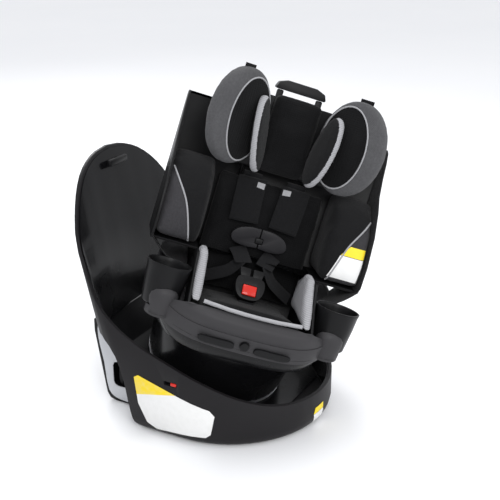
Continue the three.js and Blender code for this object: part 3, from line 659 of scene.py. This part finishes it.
def bolsters():
    """Both side bolsters with their grey outer panels and piping; returns their surfaces by side."""
    to_seat = SEAT.inverted()
    front = SEAT.to_3x3() @ Vector((0, 1, 0))

    def outer_panel(centre):
        p = (to_seat @ centre) / MM
        edge = line_at(BOLSTER_LINE, p.z)
        return edge is not None and abs(p.x) > edge and p.y < 80

    surfaces = {}
    for side, sign in SIDES.items():
        pad = cushion(f"bolster_{side}", f"side_bolster_{side}", CHARCOAL, 6.0, 4.5, 7.0)
        paint(pad, BOLSTER_GREY, outer_panel)
        tree = surface_of(pad)
        fine = eased([Vector((x, 0, z)) for x, z in BOLSTER_LINE], 24)
        line = [at(SEAT, sign * p.x, -60, p.z) for p in fine]
        path = laid_on(tree, line, front, 0.6, back=40)
        tube(f"bolster_piping_{side}", path[::2], 1.8, PIPING, "seat")
        surfaces[side] = tree
    return surfaces


def on_front_edge(p):
    """Whether a spot in a pillow's own frame is on the narrow edge that faces forward."""
    across, up = p.x / (PILLOW["wide"] * MM), p.z / (PILLOW["high"] * MM)
    return p.x > 0 and across**2 + up**2 > 0.86


def headrest_ears():
    """Both headrest wings, with piping and a blank tag, and the pillows inside them."""
    for side in SIDES:
        wing_frame = ear_frame(side, LOBE)
        inverse = wing_frame.inverted()
        face = LOBE_FACE

        def inner_face(centre):
            p = (inverse @ centre) / MM
            across = (p.x - face["x"]) / face["half_x"]
            up = (p.z - face["z"]) / face["half_z"]
            return across**2 + up**2 < 1 and p.y < 0

        wing = cushion(f"wing_{side}", f"headrest_wing_{side}", BAND_GREY, 5.0, 4.0, 6.0)
        paint(wing, KNIT, inner_face)
        tree = surface_of(wing)
        toward = (wing_frame.to_3x3() @ Vector((0, 1, 0))).normalized()
        ring = []
        for i in range(RING_POINTS):
            a = math.tau * i / RING_POINTS
            x = face["x"] + face["half_x"] * math.cos(a)
            z = face["z"] + face["half_z"] * math.sin(a)
            ring.append(at(wing_frame, x, -42, z))
        path = laid_on(tree, ring, toward, 0.5, back=20)
        tube(f"wing_piping_{side}", path, 1.6, PIPING, "headrest", cyclic=True)
        tag_across = wing_frame.to_3x3() @ Vector((1, 0, 0))
        tag = [at(wing_frame, 2, 4, z) for z in (90, 95, 99, 103)]
        band(f"wing_tag_{side}", tag, tag_across, 30, 1.4, CHARCOAL, "headrest")
        pillow_inverse = ear_frame(side, PILLOW).inverted()
        pillow = cushion(f"pillow_{side}", f"headrest_pillow_{side}", CHARCOAL, 3.6, 4.0, 4.0)
        paint(pillow, HIP_CLOTH, lambda c, m=pillow_inverse: on_front_edge(m @ c))


def cushions():
    """The plain pads: seat, back, headrest middle and hips."""
    cushion("seat_pad", "seat_cushion", KNIT, 6.0, 4.0, 6.0)
    cushion("back_pad", "back_cushion", KNIT, 6.0, 4.0, 5.0)
    cushion("headrest_pad", "headrest_centre_pad", KNIT, 5.0, 4.0, 6.0)
    for side in SIDES:
        cushion(f"hip_{side}", f"hip_pad_{side}", HIP_CLOTH, 4.0, 3.0, 3.0)


PAN_SIDE, WALL_INSIDE, LINING_FOOT = 127, 216.5, 60


def cover_lining(shell):
    """The dark cloth cover on the inner faces of the shell's side walls."""
    to_seat = SEAT.inverted()

    def inner_wall(centre):
        p = (to_seat @ centre) / MM
        return PAN_SIDE < abs(p.x) < WALL_INSIDE and p.z > LINING_FOOT

    paint(shell, COVER_CLOTH, inner_wall)


def lofted(name, lows, highs, rows, ahead, bulge, material, body, thick=2.4):
    """A panel between two rows of points, swelling along a direction by some millimetres."""
    bm = bmesh.new()
    grid = []
    for low, high, swell in zip(lows, highs, bulge):
        line = []
        for j in range(rows + 1):
            v = j / rows
            line.append(bm.verts.new(low.lerp(high, v) + ahead * swell * MM * math.sin(math.pi * v)))
        grid.append(line)
    for a, b in zip(grid, grid[1:]):
        for j in range(rows):
            bm.faces.new((a[j], b[j], b[j + 1], a[j + 1]))
    bmesh.ops.recalc_face_normals(bm, faces=bm.faces)
    mesh = bpy.data.meshes.new(name)
    bm.to_mesh(mesh)
    bm.free()
    obj = link_piece(name, mesh, material, body=body)
    modifier = obj.modifiers.new("thick", "SOLIDIFY")
    modifier.thickness = thick * MM
    modifier.offset = 0
    apply_modifiers(obj)
    shade(obj.data, 50)
    return obj


# Both ends of a flank's upper and lower edge on the right side, front end first.
FLANK_TOP = ((217.5, -33, 78), (217.5, 97, 72))
FLANK_FOOT = ((128, -40, 26), (128, 74, 2))
FLANK_SWELL = 9
FLANK_COLUMNS = 24


def cover_flanks():
    """The cloth at each side, from the shell wing's lower edge in to the pan."""
    steps = [i / FLANK_COLUMNS for i in range(FLANK_COLUMNS + 1)]
    bulge = [FLANK_SWELL for _ in steps]
    for side, sign in SIDES.items():
        top_front, top_rear = seat_line(FLANK_TOP, sign)
        foot_front, foot_rear = seat_line(FLANK_FOOT, sign)
        highs = [top_front.lerp(top_rear, t) for t in steps]
        lows = [foot_front.lerp(foot_rear, t) for t in steps]
        ahead = SEAT.to_3x3() @ Vector((sign * 0.5, -0.2, -0.8))
        lofted(f"cover_flank_{side}", lows, highs, 8, ahead, bulge, COVER_CLOTH, "seat", 2.0)


# The apron's foot follows the skirt's rounded rim in the table frame; its head is straight.
RIM_HALF, RIM_REACH, RIM_POWER, RIM_Z = 185.5, 213.5, 3.4, 98.6
APRON_FOOT_HALF = 166
APRON_HEAD_HALF, APRON_HEAD_Y, APRON_HEAD_Z = 121, -155, -3
APRON_SWELL = 15
APRON_COLUMNS = 48


def front_apron():
    """The grey front panel between the cushion's front edge and the skirt."""
    lows, highs, bulge = [], [], []
    for i in range(APRON_COLUMNS + 1):
        u = -1 + 2 * i / APRON_COLUMNS
        x = APRON_FOOT_HALF * u
        y = -RIM_REACH * (1 - abs(x / RIM_HALF) ** RIM_POWER) ** (1 / RIM_POWER)
        lows.append(at(TABLE, x, y, RIM_Z))
        highs.append(at(SEAT, APRON_HEAD_HALF * u, APRON_HEAD_Y, APRON_HEAD_Z))
        bulge.append(APRON_SWELL * (1 - abs(u) ** 4))
    ahead = SEAT.to_3x3() @ Vector((0, -1, 0.35))
    lofted("front_apron", lows, highs, 10, ahead, bulge, GREY, "seat")


# ---------- harness ----------
# Routes on the seat's right side, in the seat frame, from the top down or from the hip in.
STRAP_X = 47
SHOULDER_ROUTE = [
    (STRAP_X, 72, 243),
    (STRAP_X, 55, 241),
    (STRAP_X - 1, 51, 220),
    (STRAP_X - 3, 46, 180),
    (STRAP_X - 6, 41, 142),
]
COVER_ROUTE = [
    (STRAP_X, 45, 236),
    (STRAP_X - 1, 42.5, 205),
    (STRAP_X - 3, 39, 172),
    (STRAP_X - 5, 34.5, 144),
]
LOWER_ROUTE = [(STRAP_X - 8, 33, 91), (33, 25, 84), (27, 13, 76), (22, 0.8, 68)]
LAP_ROUTE = [(97, 28, 12), (72, 19, 26), (46, 9, 44), (26, 7, 73)]
LAP_ACROSS = (0, 0.447, 0.894)
# Outline of the light tab at the pad's inner top corner, where the strap's highlight is painted on as cloth.
HIGHLIGHT_TAB_OUTLINE = [(STRAP_X - 27, 217), (STRAP_X - 11, 219), (STRAP_X - 11, 230), (STRAP_X - 27, 229)]
WEBBING_THICK = 2.0
SHOULDER_WIDE, LOWER_WIDE, LAP_WIDE, COVER_WIDE = 38, 37, 26, 60


def webbing(name, route, sign, across, width, node=None):
    return band(name, seat_line(route, sign), across, width, WEBBING_THICK, WEBBING, "seat", node)


def shoulder_cover(side, sign, across):
    """The padded sleeve on a shoulder strap, with the light tab at its inner top corner: light grey cloth that is
    a painted highlight, in place of the glint on the folded webbing there.
    """
    route = seat_line(COVER_ROUTE, sign)
    name, node = f"shoulder_cover_{side}", f"shoulder_pad_{side}"
    soft = band(name, route, across, COVER_WIDE, 4.0, CHARCOAL, "seat", node, crown=3.2)
    inward = SEAT.to_3x3() @ Vector((0, 1, 0))
    outline = [(sign * x, z) for x, z in HIGHLIGHT_TAB_OUTLINE]
    tree = surface_of(soft)
    # The tab is a painted highlight: light cloth laid where the folded webbing catches the light.
    patch(f"shoulder_highlight_tab_{side}", tree, outline, inward, 0.8, HIGHLIGHT_TAB_CLOTH, "seat", SEAT, grid=5, thick=1.2)


def harness():
    """Shoulder, lower and lap webbing on both sides, with the padded covers."""
    across = SEAT.to_3x3() @ Vector((1, 0, 0))
    lap_across = SEAT.to_3x3() @ Vector(LAP_ACROSS)
    for side, sign in SIDES.items():
        node = f"shoulder_strap_{side}"
        webbing(f"shoulder_webbing_{side}", SHOULDER_ROUTE, sign, across, SHOULDER_WIDE, node)
        shoulder_cover(side, sign, across)
        webbing(f"lower_webbing_{side}", LOWER_ROUTE, sign, across, LOWER_WIDE, f"lower_strap_{side}")
        webbing(f"lap_webbing_{side}", LAP_ROUTE, sign, lap_across, LAP_WIDE)


# ---------- small markings on the base ----------
BASE_RADIUS = 215
FRONT_LABEL_ANGLE = -3


def on_shell(angle, z):
    """The frame of a spot on the base's round side: X along it, Y inward, Z up."""
    a = math.radians(angle)
    outward = Vector((math.sin(a), -math.cos(a), 0))
    side = Vector((math.cos(a), math.sin(a), 0))
    up = Vector((0, 0, 1))
    turned = Matrix((side, -outward, up)).transposed().to_4x4()
    spot = BASE.translation + outward * BASE_RADIUS * MM + up * z * MM
    return Matrix.Translation(spot) @ turned, -outward


def base_markings(shell):
    """The small blank label at the front of the base, in two fields."""
    tree = surface_of(shell)
    fields = [
        ("front_label_yellow", 31, [(-26, -1), (12, -1), (12, 12), (-20, 12)], YELLOW_FILM),
        ("front_label_white", 17, [(-22, -8), (12, -8), (12, 12), (-26, 12)], WHITE_FILM),
    ]
    for name, z, outline, material in fields:
        place, inward = on_shell(FRONT_LABEL_ANGLE, z)
        patch(name, tree, outline, inward, 0.5, material, "base", place, grid=8, thick=0.4)


def bolster_label(tree):
    """The blank yellow and white label on the right bolster."""
    inward = SEAT.to_3x3() @ Vector((0, 1, 0))
    yellow = [(160, 142), (209, 142), (209, 162), (176, 162)]
    white = [(144, 93), (207, 93), (209, 141), (159, 141)]
    patch("bolster_label_yellow", tree, yellow, inward, 0.8, YELLOW_FILM, "seat", SEAT, grid=14)
    patch("bolster_label_white", tree, white, inward, 0.8, WHITE_FILM, "seat", SEAT, grid=14)


SEAM_Y, SEAM_Z, SEAM_RISE = -52, 70, 26.4
SEAM_START, SEAM_TURN, SEAM_STEPS = -200, 220, 60


def skirt_seam(skirt):
    """A thin dark joint line round the skirt, higher behind its middle."""
    tree = surface_of(skirt)
    to_row = TABLE.to_3x3()
    path = []
    for i in range(SEAM_STEPS + 1):
        a = math.radians(SEAM_START + SEAM_TURN * i / SEAM_STEPS)
        out = Vector((math.cos(a), math.sin(a), 0))
        centre = Vector((0, SEAM_Y, SEAM_Z + max(0, SEAM_RISE * math.sin(a)))) * MM
        start = TABLE @ (centre + out * 0.3)
        hit, normal, _, _ = tree.ray_cast(start, -(to_row @ out), 0.25)
        if hit is not None:
            path.append(hit + normal * 0.05 * MM)
    tube("skirt_seam", path[::2], 0.55, DARK_INK, "seat", resolution=1)


# ---------- stage, light and camera ----------
def stage():
    """A pale floor just under the base."""
    bm = bmesh.new()
    bmesh.ops.create_grid(bm, x_segments=8, y_segments=8, size=30)
    mesh = bpy.data.meshes.new("floor")
    bm.to_mesh(mesh)
    bm.free()
    floor = bpy.data.objects.new("floor", mesh)
    bpy.context.scene.collection.objects.link(floor)
    floor.location.z = -0.0005
    pale = Finish("pale_floor", (0.86, 0.865, 0.875), 0.3)
    cloud = pale.noise(1.3, 3)
    pale.tint(pale.ramp(cloud, 0.3, 0.8, 0, 0.5), (0.9, 0.9, 0.905))
    mesh.materials.append(pale.done())


def area_light(name, place, target, size, power):
    light = bpy.data.lights.new(name, "AREA")
    light.shape = "DISK"
    light.size = size
    light.energy = power
    obj = bpy.data.objects.new(name, light)
    bpy.context.scene.collection.objects.link(obj)
    obj.location = place
    obj.rotation_euler = (Vector(target) - Vector(place)).to_track_quat("-Z", "Y").to_euler()


def lights():
    """A bright pale surround and four soft lamps; places and sizes in metres, power in watts."""
    world = bpy.data.worlds.new("studio")
    bpy.context.scene.world = world
    world.use_nodes = True
    background = world.node_tree.nodes["Background"]
    background.inputs["Color"].default_value = (0.96, 0.97, 1.0, 1)
    background.inputs["Strength"].default_value = 0.96
    middle = (0, 0, 0.35)
    area_light("key", (-2.6, -2.2, 2.6), middle, 1.6, 62)
    area_light("fill", (-0.6, -3.2, 1.2), middle, 2.0, 18)
    area_light("top", (0.3, 0.2, 3.2), middle, 2.4, 30)
    area_light("rim", (1.6, 2.4, 2.2), middle, 1.4, 34)


CAMERA = {"azimuth": -62, "elevation": 21, "distance": 2.1, "lens": 70.3, "target": (0.0672, -0.0104, 0.315)}


def camera():
    """The three-quarter view, with its distance and target in metres and its lens in millimetres."""
    azimuth, elevation = math.radians(CAMERA["azimuth"]), math.radians(CAMERA["elevation"])
    level = math.cos(elevation)
    back = Vector((math.sin(azimuth) * level, -math.cos(azimuth) * level, math.sin(elevation)))
    data = bpy.data.cameras.new("view")
    data.lens = CAMERA["lens"]
    data.sensor_width = 36
    data.clip_end = 40
    obj = bpy.data.objects.new("view", data)
    bpy.context.scene.collection.objects.link(obj)
    obj.location = Vector(CAMERA["target"]) + back * CAMERA["distance"]
    obj.rotation_euler = (-back).to_track_quat("-Z", "Y").to_euler()
    bpy.context.scene.camera = obj
    bpy.context.scene.view_settings.view_transform = "Standard"


# ---------- the whole ----------
hard = hard_pieces()
cushions()
bolster_surfaces = bolsters()
headrest_ears()
harness()
base_markings(hard["base_outer_shell"])
bolster_label(bolster_surfaces["right"])
cover_lining(hard["seat_shell"])
front_apron()
cover_flanks()
skirt_seam(hard["seat_skirt"])
stage()
lights()
camera()
